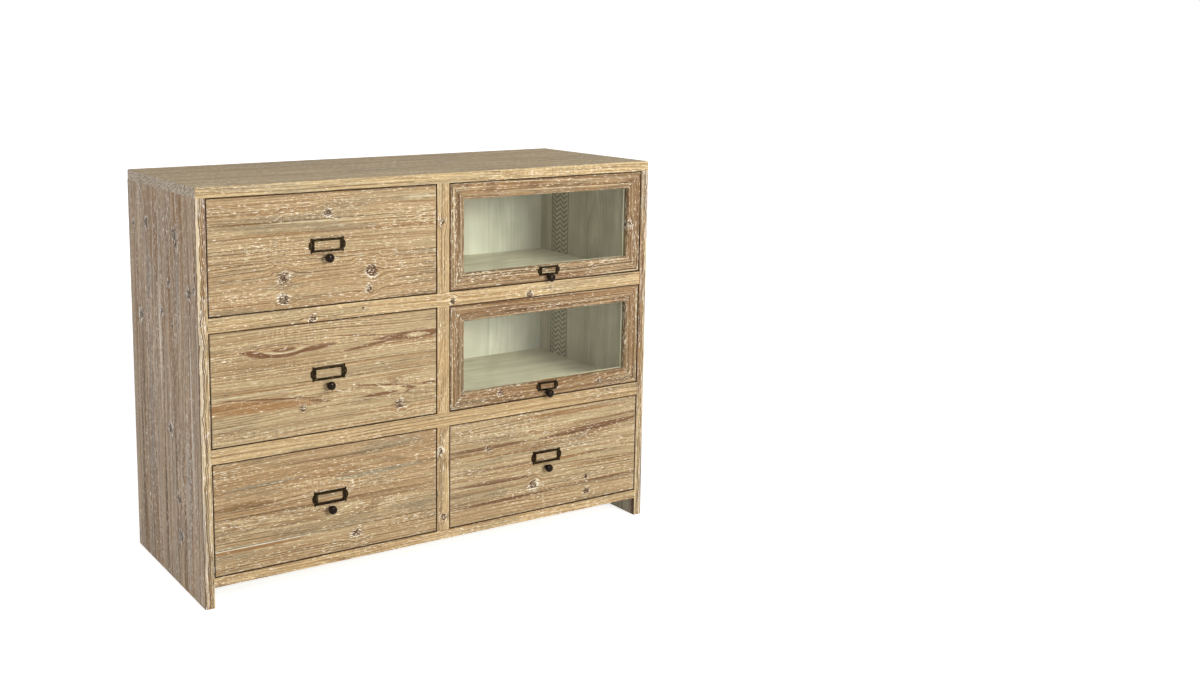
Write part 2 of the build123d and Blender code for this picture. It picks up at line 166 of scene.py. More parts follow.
# The floor is matt and pale. It glows white for the camera away from the chest, and keeps the shadow.
floorMaterial, floorTree = newMaterial("paleStudioFloor")
ground = addNode(floorTree, "TexCoord").outputs["Object"]
reach = addNode(floorTree, "VectorMath", (ground,), "LENGTH").outputs["Value"]
glow = addNode(floorTree, "MapRange",
               (reach, studio["glowFrom"], studio["glowTo"], studio["floorGlow"], 1),
               interpolation_type="SMOOTHSTEP")
glow = addNode(floorTree, "Math", (glow, seenByCamera(floorTree)), "MULTIPLY")
grit = addNode(floorTree, "TexNoise", {"Vector": ground, "Scale": 1 / studio["floorGrit"], "Detail": 2})
floorColour = addNode(floorTree, "ValToRGB", (grit,), stops=list(zip((0.3, 0.7), studio["floorShades"])))
floorShader = addNode(floorTree, "BsdfPrincipled", {
    "Base Color": floorColour, "Roughness": 0.9, "Specular IOR Level": 0.1,
    "Emission Color": (1, 1, 1, 1), "Emission Strength": glow})
addNode(floorTree, "OutputMaterial", (floorShader,))

half = studio["floorSize"] / 2
floorMesh = bpy.data.meshes.new("floor")
floorCorners = [(-half, -half, 0), (half, -half, 0), (half, half, 0), (-half, half, 0)]
floorMesh.from_pydata(floorCorners, [], [(0, 1, 2, 3)])
floorMesh.materials.append(floorMaterial)
floor = bpy.data.objects.new("floor", floorMesh)
scene.collection.objects.link(floor)
print("studio lit")


# Old pine

# Sizes of the wood's own patterns, in mm. Pairs are along and across the grain, except three:
# pithDepth is a range, wanderBy is across and in depth, and knotOutlineBy is a range with no unit.
grainSizes = {
    "pithDepth": (45, 120),
    "wander": (620, 110),
    "wanderBy": (9, 16),
    "ragged": (90, 5),
    "raggedBy": 0.8,
    "fibre": (130, 1.1),
    "streak": (900, 4),
    "hairline": (480, 2.0),
    "patch": (230, 30),
    "grey": (230, 24),
    "sawn": (2.6, 30),
    "fleck": (11, 1.6),
    "chip": (5, 2.8),
    "check": (150, 3.4),
    "knotCell": (210, 120),
    "randomKnot": 9,
    "knotOutline": (13, 13),
    "knotOutlineBy": (0.78, 1.24),
    "knotPush": 0.22,
    "boardJump": 713,
}

# how dark a ring is, from its start to its end
ringTones = [(0.0, 0.1), (0.12, 0.0), (0.5, 0.25), (0.86, 1.0), (0.97, 0.85)]

honeyPine = {
    "early": "#c3ae86", "warm": "#bfa278", "late": "#8f6f48", "streak": "#9a7246", "hairline": "#62462b",
    "pale": "#d5c49f", "grey": "#93866b", "lime": "#f0e8d0", "knot": "#73553c", "bark": "#2a1a0f",
    "figure": "#734d30", "endGrain": ("#5f4f41", "#9c8a78", "#b3a492", "#e4dccf"), "ringContrast": 0.66,
}
creamPine = dict(
    honeyPine, early="#d6bd8e", warm="#cfb182", late="#9c784b", streak="#a0784a", ringContrast=0.64)
doorPine = dict(
    honeyPine, early="#ab8e66", warm="#a28057", late="#6c4a2a", streak="#835930", hairline="#452d18",
    ringContrast=0.8)
topPine = dict(
    honeyPine, early="#bbab8a", warm="#b8a282", late="#7f6847", streak="#90744d", grey="#938976",
    pale="#d3c6a6", ringContrast=0.6)
weatheredPine = dict(
    honeyPine, early="#cbb59c", warm="#c0a689", late="#71573c", streak="#89653f", hairline="#483420",
    pale="#e0d3c3", grey="#968980", lime="#f2ece1", knot="#4a382b", ringContrast=0.75)

# The front face of the rails, where the gaps round fronts and flaps start, and the colours of the gaps'
# sides: dirt and painted shade
gapFront = span("bottom_rail", 1)[0]
frameGapDirtAndShade = "#321a05"
frontGapDirtAndShade = "#5c3b1c"

# What a piece's look can leave out; streak, grey, hair and lime say how much of each it shows
commonLook = {
    "palette": honeyPine, "ringPitch": 5.2, "face": 0, "seams": (), "seamWidth": 0.6, "bands": (),
    "knots": (), "knotShare": 0, "streak": 0.7, "grey": 0.45, "hair": 0.75, "paleHair": 0.4,
    # dirt is the colour of the gaps' sides, near black on the frame: dirt and painted shade
    "strokeShare": 0.92, "lime": 0.5, "level": 1.0, "dirt": frameGapDirtAndShade,
}


def stretched(tree, along, across, deep, size):
    # coordinates scaled so that one unit is a feature of this size in millimetres
    place = addNode(tree, "CombineXYZ", (along, across, deep))
    return addNode(tree, "VectorMath", (place, (1 / size[0], 1 / size[1], 1 / size[1])), "MULTIPLY")


def sawnBoard(tree, look):
    # The growth rings, fibre, knots and seams of a board, from the piece's own coordinates in mm.
    look = {**commonLook, **look}
    place = addNode(tree, "TexCoord")
    inMillimetres = addNode(tree, "VectorMath", (place.outputs["Object"], (millimetres,) * 3), "MULTIPLY")
    axes = addNode(tree, "SeparateXYZ", (inMillimetres,)).outputs
    along, across, deep = (axes[letter] for letter in look["grain"])
    facing = addNode(tree, "SeparateXYZ", (place.outputs["Normal"],)).outputs
    endGrain = addNode(tree, "Math", (facing[look["grain"][0]],), "ABSOLUTE")
    endGrain = addNode(tree, "MapRange", (endGrain, 0.6, 0.8, 0, 1))

    # glued boards: each seam starts a new board, with rings of its own
    board = look["seed"]
    seamLine = 0.0
    for seam in look["seams"]:
        past = addNode(tree, "Math", (across, seam), "GREATER_THAN")
        board = addNode(tree, "Math", (board, past), "ADD")
        line = addNode(tree, "Math", (across, seam, look["seamWidth"]), "COMPARE")
        seamLine = addNode(tree, "Math", (seamLine, line), "MAXIMUM")
    chance = addNode(tree, "TexWhiteNoise", {"W": board}, noise_dimensions="1D").outputs["Color"]
    chance = addNode(tree, "SeparateXYZ", (chance,)).outputs
    jump = addNode(tree, "Math", (board, grainSizes["boardJump"]), "MULTIPLY")
    movedAlong = addNode(tree, "Math", (along, jump), "ADD")

    # knots: those listed, and random ones in the cells of a wide Voronoi pattern
    cellLong, cellWide = grainSizes["knotCell"]
    cells = addNode(tree, "CombineXYZ", (movedAlong, across, 0))
    cells = addNode(tree, "VectorMath", (cells, (1 / cellLong, 1 / cellWide, 1)), "MULTIPLY")
    cells = addNode(tree, "TexVoronoi", {"Vector": cells, "Scale": 1}, voronoi_dimensions="2D")
    cellMiddle = addNode(tree, "SeparateXYZ", (cells.outputs["Position"],))
    cellChance = addNode(tree, "SeparateXYZ", (cells.outputs["Color"],))
    randomAlong = addNode(tree, "Math", (cellMiddle.outputs["X"], cellLong), "MULTIPLY")
    randomAlong = addNode(tree, "Math", (randomAlong, jump), "SUBTRACT")
    randomAcross = addNode(tree, "Math", (cellMiddle.outputs["Y"], cellWide), "MULTIPLY")
    randomRadius = addNode(tree, "MapRange", (
        cellChance.outputs["X"], 1 - look["knotShare"], 1, 0.01, grainSizes["randomKnot"]))
    knots = [*look["knots"], (randomAlong, randomAcross, randomRadius)]

    shape = addNode(tree, "CombineXYZ", (along, across, 0))
    outline = addNode(tree, "TexNoise", {
        "Vector": stretched(tree, along, across, deep, grainSizes["knotOutline"]), "Scale": 1, "Detail": 1})
    outline = addNode(tree, "MapRange", (outline, 0.3, 0.7, *grainSizes["knotOutlineBy"]))
    push = 0.0
    # the distance to the nearest knot, in knot radii, starts far off
    nearest = 9.0
    for knotAlong, knotAcross, radius in knots:
        middle = addNode(tree, "CombineXYZ", (knotAlong, knotAcross, 0))
        away = addNode(tree, "VectorMath", (shape, middle), "DISTANCE").outputs["Value"]
        share = addNode(tree, "Math", (away, radius), "DIVIDE")
        share = addNode(tree, "Math", (share, outline), "MULTIPLY")
        nearest = addNode(tree, "Math", (nearest, share), "MINIMUM")
        # the grain flows round a knot: lines near it are pushed aside, less and less with distance
        fade = addNode(tree, "Math", (share, share), "MULTIPLY")
        fade = addNode(tree, "Math", (fade, -grainSizes["knotPush"]), "MULTIPLY")
        fade = addNode(tree, "Math", (fade,), "EXPONENT")
        offset = addNode(tree, "Math", (across, knotAcross), "SUBTRACT")
        push = addNode(tree, "Math", (offset, fade, push), "MULTIPLY_ADD")

    # rings round a pith that runs behind the face and wanders, so that the face shows cathedrals
    wander = addNode(tree, "TexNoise", {
        "Vector": stretched(tree, movedAlong, across, deep, grainSizes["wander"]), "Scale": 1, "Detail": 1.5})
    wander = addNode(tree, "SeparateXYZ", (wander.outputs["Color"],))
    lateral, depth = (
        addNode(tree, "MapRange", (wander.outputs[letter], 0.25, 0.75, -by, by), clamp=False)
        for letter, by in zip("XY", grainSizes["wanderBy"]))
    pithPlace = addNode(tree, "MapRange", (chance["X"], 0, 1, *look["pith"]))
    pithDepth = addNode(tree, "MapRange", (chance["Y"], 0, 1, *grainSizes["pithDepth"]))
    side = addNode(tree, "Math", (across, pithPlace), "SUBTRACT")
    side = addNode(tree, "Math", (side, lateral), "ADD")
    side = addNode(tree, "Math", (side, push), "SUBTRACT")
    below = addNode(tree, "Math", (deep, pithDepth), "ADD")
    below = addNode(tree, "Math", (below, -look["face"]), "ADD")
    below = addNode(tree, "Math", (below, depth), "ADD")
    rings = addNode(tree, "CombineXYZ", (side, below, 0))
    rings = addNode(tree, "VectorMath", (rings,), "LENGTH").outputs["Value"]
    ragged = addNode(tree, "TexNoise", {
        "Vector": stretched(tree, movedAlong, across, deep, grainSizes["ragged"]), "Scale": 1, "Detail": 2})
    ragged = addNode(tree, "MapRange", (ragged, 0.3, 0.7, 0, grainSizes["raggedBy"]), clamp=False)
    rings = addNode(tree, "Math", (rings, ragged), "ADD")
    rings = addNode(tree, "Math", (rings, look["ringPitch"]), "DIVIDE")
    rings = addNode(tree, "Math", (rings,), "FRACT")
    rings = addNode(tree, "ValToRGB", (rings,), stops=ringTones)

    # bands: wide brown lines of late wood along the board
    band = 0.0
    bandEdge = 2.5
    for bandAcross, halfWidth in look["bands"]:
        near = addNode(tree, "Math", (side, bandAcross), "SUBTRACT")
        near = addNode(tree, "Math", (near, pithPlace), "ADD")
        near = addNode(tree, "Math", (near,), "ABSOLUTE")
        near = addNode(tree, "MapRange", (near, halfWidth, halfWidth + bandEdge, 1, 0))
        band = addNode(tree, "Math", (band, near), "MAXIMUM")

    # noises along the grain: the first three follow the rings as they wander and flow round knots
    grain = {
        "along": movedAlong, "across": across, "side": side, "deep": deep, "axes": axes, "facing": facing,
        "endGrain": endGrain, "seamLine": seamLine, "chance": chance, "nearest": nearest, "rings": rings,
        "band": band,
    }
    for noise, sideways, detail, roughness in (
            ("fibre", side, 3, 0.65), ("hairline", side, 3, 0.62), ("streak", side, 4, 0.62),
            ("patch", across, 2, 0.5), ("sawn", across, 1, 0.5)):
        size = look.get(noise + "Size", grainSizes[noise])
        grain[noise] = addNode(tree, "TexNoise", {
            "Vector": stretched(tree, movedAlong, sideways, deep, size), "Scale": 1, "Detail": detail,
            "Roughness": roughness})
    return grain


def edgeDistance(tree, grain, edges):
    # distances in mm: from the outline of a front, from the nearer edge of a mitred frame, from its mitres
    axes = grain["axes"]
    pairs = []
    for letter, (low, high) in (("X", edges["x"]), ("Z", edges["z"])):
        fromLow = addNode(tree, "Math", (axes[letter], low), "SUBTRACT")
        fromHigh = addNode(tree, "Math", (high, axes[letter]), "SUBTRACT")
        pairs.append(addNode(tree, "Math", (fromLow, fromHigh), "MINIMUM"))
    inset = addNode(tree, "Math", pairs, "MINIMUM")
    if "memberWidth" not in edges:
        return inset, inset, None
    toSight = addNode(tree, "Math", (edges["memberWidth"], inset), "SUBTRACT")
    nearEdge = addNode(tree, "Math", (inset, toSight), "MINIMUM")
    mitre = addNode(tree, "Math", pairs, "SUBTRACT")
    mitre = addNode(tree, "Math", (mitre,), "ABSOLUTE")
    return inset, nearEdge, mitre


def figured(tree, grain, look, palette, colour):
    # The photographed figure: pointed strokes of late or pale wood, each tilted and bent a little.
    along, across = (grain["axes"][letter] for letter in look["grain"][:2])
    wobble = addNode(tree, "MapRange", (grain["fibre"], 0.3, 0.7, -0.2, 0.2), clamp=False)
    for middleAlong, middleAcross, halfLength, halfWidth, tone, *lean in look["strokes"]:
        tilt, bend = (*lean, 0, 0)[:2]
        away = addNode(tree, "Math", (along, middleAlong), "SUBTRACT")
        line = addNode(tree, "Math", (away, bend, tilt), "MULTIPLY_ADD")
        line = addNode(tree, "Math", (away, line, middleAcross), "MULTIPLY_ADD")
        off = addNode(tree, "Math", (across, line), "SUBTRACT")
        off = addNode(tree, "Math", (off,), "ABSOLUTE")
        far = addNode(tree, "Math", (away, halfLength), "DIVIDE")
        far = addNode(tree, "Math", (far, far, wobble), "MULTIPLY_ADD")
        stroke = addNode(tree, "Math", (off, 1 / halfWidth, far), "MULTIPLY_ADD")
        stroke = addNode(tree, "MapRange", (stroke, 0.8, 1.15, look["strokeShare"], 0))
        colour = addNode(tree, "MixRGB", (stroke, colour, palette[tone]))
    return colour


# Dirt and painted shade in the gaps, in mm: the depth over which it fades, how far in from the outline
# of a front it reaches on the sides, and the rim of painted shade that it leaves on the face
gapSizes = {
    "depth": (4, 11),
    "share": (0.9, 0.2),
    "outer": (2, 4),
    "rim": (0.6, 3.0),
    "rimShare": 0.45,
}


def gapShade(tree, grain, look):
    # Dirt and painted shade on the sides of the gaps round drawers and flaps: dark at the front,
    # fading with depth. The dark rim on the face of a front is painted shade.
    if look["gap"] == "sides":
        shade = addNode(tree, "Math", (grain["facing"]["Y"],), "ABSOLUTE")
        shade = addNode(tree, "MapRange", (shade, 0.25, 0.7, 1, 0))
    else:
        letter, sign = look["gap"]
        shade = addNode(tree, "Math", (grain["facing"][letter], sign), "MULTIPLY")
        shade = addNode(tree, "MapRange", (shade, 0.4, 0.7, 0, 1))
    near, far = (gapFront + depth for depth in gapSizes["depth"])
    fade = addNode(tree, "MapRange", (grain["axes"]["Y"], near, far, *gapSizes["share"]))
    shade = addNode(tree, "Math", (shade, fade), "MULTIPLY")
    if "inset" in grain:
        outer = addNode(tree, "MapRange", (grain["inset"], *gapSizes["outer"], 1, 0))
        shade = addNode(tree, "Math", (shade, outer), "MULTIPLY")
        rim = addNode(tree, "MapRange", (grain["inset"], *gapSizes["rim"], gapSizes["rimShare"], 0))
        shade = addNode(tree, "Math", (shade, rim), "MAXIMUM")
    return shade


# The worn corner, in mm: minus is on the front edge, plus on the side. The strip and the lines are
# each a middle and a half width.
cornerSizes = {
    "waveLength": 70,
    "waveBy": 5,
    "strip": (-3, 3),
    "lines": ((3.2, 1.4), (-8, 1.0), (-12, 0.7)),
    "lineShare": 0.75,
}


def wornCorner(tree, grain, outerX, palette, chips, colour):
    # The front corner of a side panel: rubbed pale in a wavy strip, with a brown line on each side of it.
    waves = addNode(tree, "TexNoise", {
        "W": addNode(tree, "Math", (grain["axes"]["Z"], cornerSizes["waveLength"]), "DIVIDE"),
        "Scale": 1, "Detail": 3}, noise_dimensions="1D")
    waves = addNode(tree, "MapRange", (waves, 0.25, 0.75, -cornerSizes["waveBy"], cornerSizes["waveBy"]))
    inside = addNode(tree, "Math", (grain["axes"]["X"], outerX), "SUBTRACT")
    inside = addNode(tree, "Math", (inside,), "ABSOLUTE")
    behind = addNode(tree, "Math", (grain["axes"]["Y"], gapFront), "SUBTRACT")
    place = addNode(tree, "Math", (behind, inside), "SUBTRACT")
    place = addNode(tree, "Math", (place, waves), "ADD")
    rubbed = addNode(tree, "MapRange", (chips, 0.42, 0.55, 0.2, 0.8))
    strip = addNode(tree, "Math", (place, *cornerSizes["strip"]), "COMPARE")
    strip = addNode(tree, "Math", (strip, rubbed), "MULTIPLY")
    colour = addNode(tree, "MixRGB", (strip, colour, palette["lime"]))
    for lineAt, halfWidth in cornerSizes["lines"]:
        line = addNode(tree, "Math", (place, lineAt, halfWidth), "COMPARE")
        line = addNode(tree, "Math", (line, cornerSizes["lineShare"]), "MULTIPLY")
        colour = addNode(tree, "MixRGB", (line, colour, palette["hairline"]))
    return colour


def overlaid(tree, colour, pattern, levels, shade):
    # a shade laid over a colour: from one level of a pattern to another, its share goes from the
    # third of the numbers to the fourth
    share = addNode(tree, "MapRange", (pattern, *levels))
    return addNode(tree, "MixRGB", (share, colour, shade))


def darkened(tree, colour, level):
    # a colour times a plain level
    level = addNode(tree, "CombineXYZ", (level, level, level))
    return addNode(tree, "MixRGB", (1.0, colour, level), blend_type="MULTIPLY")


def carved(tree, parts, strength):
    # a bump from some patterns, each with its height in mm
    height = 0.0
    for pattern, depth in parts:
        height = addNode(tree, "Math", (pattern, depth, height), "MULTIPLY_ADD")
    return addNode(tree, "Bump", {"Height": height, "Distance": 1 / millimetres, "Strength": strength})


# Limed pine. Four numbers go from one distance or level to another, and from one share to another;
# distances from edges and mitres are in mm, those from knots in radii. Two numbers are the least
# and the most that a pattern gives. Heights of the brushed surface are in mm.
limed = {
    "fibreTone": (-0.22, 0.3),
    "bandShare": (0.25, 0.8),
    "warmth": (0.9, 1.06),
    "sawTone": (-0.15, 0.13),
    "pores": (0.78, 1.12),
    "knotUneven": (-0.35, 0.5),
    "knotHalo": (1.0, 2.4, 0.45, 0),
    "knotHeart": (0.95, 1.15, 0.95, 0),
    "checkHalfWidth": 0.006,
    "checkShare": 0.8,
    "lineShare": (0.35, 0.85),
    "mitreLine": (0.35, 0.9, 0.6, 0),
    "limeByLook": 0.12,
    "limeByPatch": (-0.035, 0.03),
    "limeAtEdge": (1.5, 5, 0.035, 0),
    "limeAtMitre": (0.5, 4, 0.07, 0),
    "limeInKnots": (0.7, 0.9, 0.2, 1),
    "dashLevels": (0.645, 0.67),
    "chipLevels": (0.69, 0.71),
    "endShare": 0.85,
    "heights": {"rings": 0.28, "hairline": -0.8, "fibre": 0.35},
    "cutDepth": -0.9,
    "limeHeight": 0.15,
    "bump": 0.75,
    "roughness": (0.82, 0.62),
    "specular": 0.35,
}


def limedPine(name, look):
    # Reclaimed pine, wire-brushed and limed: matt honey wood, white flecks left in the open grain.
    material, tree = newMaterial(name)
    look = {**commonLook, **look}
    grain = sawnBoard(tree, look)
    palette = look["palette"]
    along, across, side, deep = (grain[key] for key in ("along", "across", "side", "deep"))
    for noise, sideways, detail, roughness in (
            ("grey", across, 4, 0.65), ("fleck", across, 2, 0.55), ("chip", across, 3, 0.7),
            ("check", side, 1, 0.5)):
        grain[noise] = addNode(tree, "TexNoise", {
            "Vector": stretched(tree, along, sideways, deep, grainSizes[noise]), "Scale": 1,
            "Detail": detail, "Roughness": roughness})

    # wood colour: each board is cooler or warmer, then rings and fibre darken it
    contrast = palette["ringContrast"]
    contrast = addNode(tree, "MapRange", (grain["patch"], 0.35, 0.65, 0.5 * contrast, 1.25 * contrast))
    tone = addNode(tree, "Math", (grain["rings"], contrast), "MULTIPLY")
    fibreTone = addNode(tree, "MapRange", (grain["fibre"], 0.32, 0.68, *limed["fibreTone"]))
    tone = addNode(tree, "Math", (tone, fibreTone), "ADD", use_clamp=True)
    early = addNode(tree, "MixRGB", (grain["chance"]["Z"], palette["early"], palette["warm"]))
    late = palette["late"]
    if "frontPalette" in look:
        # the front edge is a paler strip of wood
        forward = addNode(tree, "MapRange", (grain["facing"]["Y"], -0.4, -0.7, 0, 1))
        early = addNode(tree, "MixRGB", (forward, early, look["frontPalette"]["early"]))
        late = addNode(tree, "MixRGB", (forward, late, look["frontPalette"]["late"]))
    colour = addNode(tree, "MixRGB", (tone, early, late))
    colour = overlaid(tree, colour, grain["streak"], (0.5, 0.62, 0, look["streak"]), palette["streak"])
    bandShare = addNode(tree, "MapRange", (grain["patch"], 0.3, 0.6, *limed["bandShare"]))
    bandShare = addNode(tree, "Math", (grain["band"], bandShare), "MULTIPLY")
    colour = addNode(tree, "MixRGB", (bandShare, colour, palette["streak"]))
    colour = overlaid(tree, colour, grain["grey"], (0.5, 0.66, 0, look["grey"]), palette["grey"])
    if "strokes" in look:
        colour = figured(tree, grain, look, palette, colour)
    hairline = grain["hairline"]
    colour = overlaid(tree, colour, hairline, (0.54, 0.66, 0, look["hair"]), palette["hairline"])
    colour = overlaid(tree, colour, hairline, (0.45, 0.34, 0, look["paleHair"]), palette["pale"])
    warmth = addNode(tree, "MapRange", (grain["patch"], 0.3, 0.7, *limed["warmth"]))
    warmth = addNode(tree, "Math", (warmth, look["level"]), "MULTIPLY")
    colour = darkened(tree, colour, warmth)

    # marks of the saw run across the grain, in patches
    sawGate = addNode(tree, "MapRange", (grain["patch"], 0.5, 0.62, 0, 1))
    sawTone = addNode(tree, "MapRange", (grain["sawn"], 0.35, 0.65, *limed["sawTone"]))
    sawTone = addNode(tree, "Math", (sawTone, sawGate, 1), "MULTIPLY_ADD")
    colour = darkened(tree, colour, sawTone)

    # open pores give the brushed wood its fine dark and light grit
    pores = addNode(tree, "MapRange", (grain["fleck"], 0.3, 0.62, *limed["pores"]))
    colour = darkened(tree, colour, pores)

    # knots: hearts broken into bark, brown wood and lime, with darker wood just round them
    chips = grain["chip"]
    uneven = addNode(tree, "MapRange", (chips, 0.3, 0.7, *limed["knotUneven"]), clamp=False)
    uneven = addNode(tree, "Math", (grain["nearest"], uneven), "ADD")
    colour = overlaid(tree, colour, grain["nearest"], limed["knotHalo"], palette["late"])
    knotColour = addNode(tree, "ValToRGB", (chips,), stops=[
        (0.42, palette["bark"]), (0.49, palette["knot"]), (0.56, palette["knot"]), (0.6, palette["lime"])])
    colour = overlaid(tree, colour, uneven, limed["knotHeart"], knotColour)

    # drying checks and glue lines read as thin dark lines
    checks = addNode(tree, "Math", (grain["check"], 0.5, limed["checkHalfWidth"]), "COMPARE")
    checkGate = addNode(tree, "MapRange", (grain["grey"], 0.54, 0.58, 0, limed["checkShare"]))
    checks = addNode(tree, "Math", (checks, checkGate), "MULTIPLY")
    dark = addNode(tree, "Math", (checks, grain["seamLine"]), "MAXIMUM")
    darkShare = addNode(tree, "MapRange", (grain["fibre"], 0.4, 0.6, *limed["lineShare"]))
    darkShare = addNode(tree, "Math", (dark, darkShare), "MULTIPLY")
    colour = addNode(tree, "MixRGB", (darkShare, colour, palette["bark"]))

    # lime: dashes in the open grain, a few rounder chips, more round knots, edges and mitres
    openness = addNode(tree, "MapRange", (grain["patch"], 0.35, 0.65, *limed["limeByPatch"]))
    nearKnot = addNode(tree, "ValToRGB", (addNode(tree, "MapRange", (grain["nearest"], 0, 2.5, 0, 1)),),
                       stops=[(0.0, 0.0), (0.32, 0.02), (0.4, 0.11), (0.52, 0.08), (0.8, 0.0)])
    lift = addNode(tree, "Math", (openness, nearKnot), "ADD")
    if "edges" in look:
        grain["inset"], nearEdge, mitre = edgeDistance(tree, grain, look["edges"])
        edgeLift = addNode(tree, "MapRange", (nearEdge, *limed["limeAtEdge"]))
        lift = addNode(tree, "Math", (lift, edgeLift), "ADD")
        if mitre:
            mitreLift = addNode(tree, "MapRange", (mitre, *limed["limeAtMitre"]))
            lift = addNode(tree, "Math", (lift, mitreLift), "ADD")
    lookLift = limed["limeByLook"] * (look["lime"] - 0.5)
    lift = addNode(tree, "Math", (lift, lookLift), "ADD")
    dashes = addNode(tree, "Math", (grain["fleck"], lift), "ADD")
    dashes = addNode(tree, "MapRange", (dashes, *limed["dashLevels"], 0, 1))
    limeChips = addNode(tree, "Math", (chips, lift), "ADD")
    limeChips = addNode(tree, "MapRange", (limeChips, *limed["chipLevels"], 0, 1))
    limeShare = addNode(tree, "Math", (dashes, limeChips), "MAXIMUM")
    outside = addNode(tree, "MapRange", (uneven, *limed["limeInKnots"]))
    limeShare = addNode(tree, "Math", (limeShare, outside), "MULTIPLY")

    # end grain soaks up dirt and lime, so it is grey and mottled under the last lime
    endStops = list(zip((0.4, 0.47, 0.53, 0.58), palette["endGrain"]))
    endColour = addNode(tree, "ValToRGB", (chips,), stops=endStops)
    endShare = addNode(tree, "Math", (grain["endGrain"], limed["endShare"]), "MULTIPLY")
    colour = addNode(tree, "MixRGB", (endShare, colour, endColour))
    colour = addNode(tree, "MixRGB", (limeShare, colour, palette["lime"]))
    if "edges" in look and mitre:
        colour = overlaid(tree, colour, mitre, limed["mitreLine"], palette["bark"])

    if "corner" in look:
        colour = wornCorner(tree, grain, look["corner"], palette, limeChips, colour)
    if "paint" in look:
        colour = paintOver(tree, grain, look, colour)
    if "gap" in look:
        # the sides of the gaps and the rims of fronts are darkened: dirt and painted shade
        gap = gapShade(tree, grain, look)
        colour = addNode(tree, "MixRGB", (gap, colour, look["dirt"]))

    # brushing leaves the hard rings proud; lime fills the pores; checks and seams are cut in
    parts = [(grain[name], height) for name, height in limed["heights"].items()]
    parts += [(dark, limed["cutDepth"]), (limeChips, limed["limeHeight"])]
    roughness = addNode(tree, "MapRange", (tone, 0, 1, *limed["roughness"]))
    shader = addNode(tree, "BsdfPrincipled", {
        "Base Color": colour, "Roughness": roughness, "Specular IOR Level": limed["specular"],
        "Normal": carved(tree, parts, limed["bump"])})
    addNode(tree, "OutputMaterial", (shader,))
    return material


# Paint inside the chest

# How much each pattern of the wood thins the paint, and how dark the seams are in it
paintSizes = {"strokes": 0.55, "rings": 0.3, "patches": (-0.15, 0.3), "seams": 0.6}
chalkPaint = {"thick": "#f0ead8", "thin": "#cdc5ad", "line": "#7d765f"}
backPaint = {"thick": "#efece0", "thin": "#d3cfbf", "line": "#9d9783"}
# the inner face of the right side gets darker paint: painted shade, as that wall faces away from the lamps
shadedWallPaint = {"thick": "#ebe4d0", "thin": "#b9b19b", "line": "#645a46"}


def paintOver(tree, grain, look, wood):
    # Chalky off-white paint, brushed thin over the pine, on the faces that look inward.
    letter, sign = look["paint"]["faces"]
    inward = addNode(tree, "Math", (grain["facing"][letter], sign), "MULTIPLY")
    inward = addNode(tree, "MapRange", (inward, 0.5, 0.7, 0, 1))
    if "behind" in look["paint"]:
        behind = addNode(tree, "Math", (grain["axes"]["Y"], look["paint"]["behind"]), "GREATER_THAN")
        inward = addNode(tree, "Math", (inward, behind), "MULTIPLY")
    return addNode(tree, "MixRGB", (inward, wood, brushedPaint(tree, grain, look)))


def brushedPaint(tree, grain, look):
    # the paint's own colour: thinner over the hard rings and along the brush strokes
    strokes = addNode(tree, "MapRange", (grain["fibre"], 0.3, 0.7, 0, paintSizes["strokes"]))
    thinness = addNode(tree, "Math", (grain["rings"], paintSizes["rings"], strokes), "MULTIPLY_ADD")
    patches = addNode(tree, "MapRange", (grain["patch"], 0.35, 0.65, *paintSizes["patches"]))
    thinness = addNode(tree, "Math", (thinness, patches), "ADD")
    worn = look["paint"].get("worn", 0.0)
    thinness = addNode(tree, "Math", (thinness, worn), "ADD", use_clamp=True)
    paint = look["paint"].get("colours", chalkPaint)
    colour = addNode(tree, "MixRGB", (thinness, paint["thick"], paint["thin"]))
    lines = addNode(tree, "Math", (grain["seamLine"], paintSizes["seams"]), "MULTIPLY")
    if "sawMarks" in look["paint"]:
        # a band of rougher sawn board, with the blade's marks in a zigzag
        marks = look["paint"]["sawMarks"]
        y, z = grain["axes"]["Y"], grain["axes"]["Z"]
        band = addNode(tree, "Math", (y, marks["middle"], marks["halfWidth"]), "COMPARE")
        slant = addNode(tree, "Math", (y, marks["lane"]), "PINGPONG")
        wave = addNode(tree, "Math", (slant, marks["slope"], z), "MULTIPLY_ADD")
        wave = addNode(tree, "Math", (wave, marks["pitch"]), "DIVIDE")
        wave = addNode(tree, "Math", (wave,), "FRACT")
        wave = addNode(tree, "MapRange", (wave, 0.5, 0.6, 0, 1))
        wave = addNode(tree, "Math", (wave, band), "MULTIPLY")
        gate = addNode(tree, "MapRange", (grain["fibre"], 0.38, 0.6, 0.35, 1))
        wave = addNode(tree, "Math", (wave, gate), "MULTIPLY")
        lines = addNode(tree, "Math", (lines, wave), "MAXIMUM")
    return addNode(tree, "MixRGB", (lines, colour, paint["line"]))


def paintedPine(name, look):
    # Pine boards under thin chalk paint: flat and pale, with the wood's lines just showing.
    material, tree = newMaterial(name)
    look = dict({"paint": {}}, **look)
    grain = sawnBoard(tree, look)
    colour = brushedPaint(tree, grain, look)
    parts = [(grain["fibre"], 0.3), (grain["rings"], 0.1), (grain["seamLine"], -0.8)]
    shader = addNode(tree, "BsdfPrincipled", {
        "Base Color": colour, "Roughness": 0.85, "Specular IOR Level": 0.25,
        "Normal": carved(tree, parts, 0.6)})
    addNode(tree, "OutputMaterial", (shader,))
    return material


